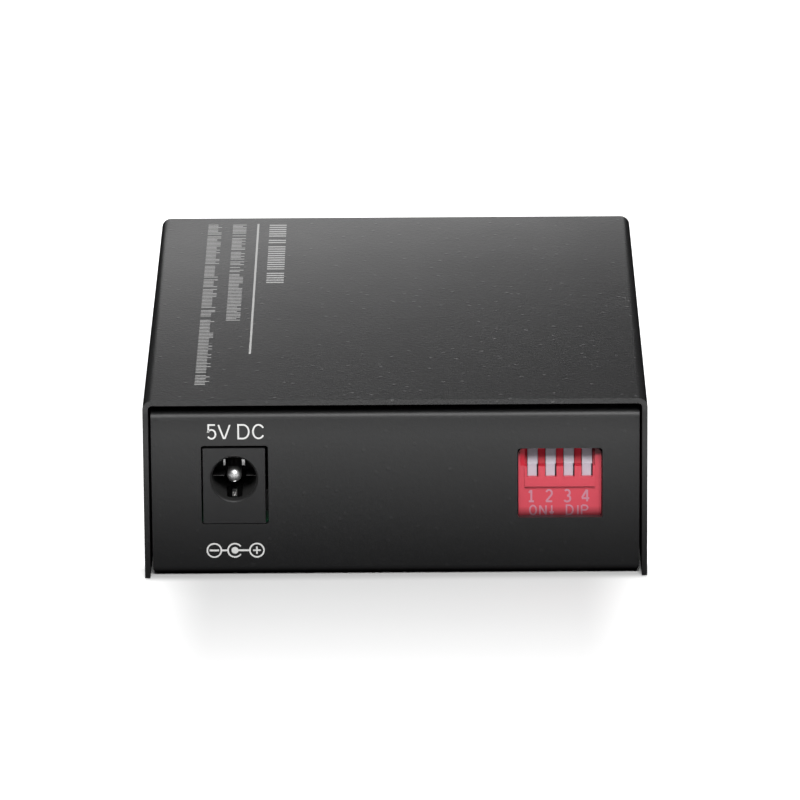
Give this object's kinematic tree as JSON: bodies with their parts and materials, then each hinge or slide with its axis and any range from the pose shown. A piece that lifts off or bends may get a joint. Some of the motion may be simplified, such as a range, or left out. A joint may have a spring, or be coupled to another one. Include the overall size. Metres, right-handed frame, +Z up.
{
  "type": "fibre media converter",
  "caption": "Small black steel box that joins a copper network port to a pair of fibre ports, with a power inlet and a red DIP switch.",
  "frame": {"origin": "centre of the base's underside", "axes": "+Z up, -Y towards the panel with the power inlet and the DIP switch, +Y towards the panel with the network ports"},
  "size_m": [0.0706, 0.1028, 0.026],
  "materials": {
    "powder_coated_steel": "matt black powder coat with a fine grain",
    "black_screw_steel": "black oxide",
    "zinc_steel": "bright zinc",
    "brass": "turned brass",
    "board_green": "solder mask",
    "black_plastic": "moulded, slightly satin",
    "contact_metal": "tin plate",
    "gilt_contact": "gilt",
    "red_plastic": "moulded, satin",
    "white_plastic": "moulded, satin",
    "nickel_plate": "satin nickel plate",
    "white_ceramic": "fired ceramic",
    "lamp_resin": "tinted clear resin",
    "can_aluminium": "drawn can"
  },
  "bodies": {
    "case": {"base_chassis": "powder_coated_steel", "board_screws": "zinc_steel", "board_standoffs": "brass", "circuit_board": "board_green", "converter_chip": "black_plastic", "cover_screws": "black_screw_steel", "crystal_can": "nickel_plate", "dc_jack_housing": "black_plastic", "dc_jack_pin": "contact_metal", "dc_jack_sleeve_contact": "contact_metal", "dc_jack_switch_contact": "contact_metal", "dip_switch_body": "red_plastic", "dip_switch_pins": "contact_metal", "fibre_barrel_rx": "nickel_plate", "fibre_barrel_tx": "nickel_plate", "fibre_sleeve_rx": "white_ceramic", "fibre_sleeve_tx": "white_ceramic", "fibre_transceiver_housing": "black_plastic", "fibre_transceiver_pins": "contact_metal", "input_capacitor": "can_aluminium", "line_transformer": "black_plastic", "network_socket_contacts": "gilt_contact", "network_socket_insert": "black_plastic", "network_socket_shell": "nickel_plate", "output_capacitor": "can_aluminium", "power_inductor": "black_plastic", "status_lamp_1": "lamp_resin", "status_lamp_2": "lamp_resin", "status_lamp_3": "lamp_resin", "status_lamp_4": "lamp_resin", "status_lamp_5": "lamp_resin", "status_lamp_6": "lamp_resin", "status_lamp_holder": "black_plastic", "top_cover": "powder_coated_steel", "voltage_regulator": "black_plastic"},
    "lever_1": {"dip_lever_1": "white_plastic"},
    "lever_2": {"dip_lever_2": "white_plastic"},
    "lever_3": {"dip_lever_3": "white_plastic"},
    "lever_4": {"dip_lever_4": "white_plastic"}
  },
  "joints": [
    {"name": "dip_rock_1", "type": "hinge", "parent": "case", "child": "lever_1", "pos_m": [0.01924, -0.04085, 0.0148], "axis": [1, 0, 0], "range_deg": [0, 22]},
    {"name": "dip_rock_2", "type": "hinge", "parent": "case", "child": "lever_2", "pos_m": [0.02178, -0.04085, 0.0148], "axis": [1, 0, 0], "range_deg": [0, 22]},
    {"name": "dip_rock_3", "type": "hinge", "parent": "case", "child": "lever_3", "pos_m": [0.02432, -0.04085, 0.0148], "axis": [1, 0, 0], "range_deg": [0, 22]},
    {"name": "dip_rock_4", "type": "hinge", "parent": "case", "child": "lever_4", "pos_m": [0.02686, -0.04085, 0.0148], "axis": [1, 0, 0], "range_deg": [0, 22]}
  ]
}
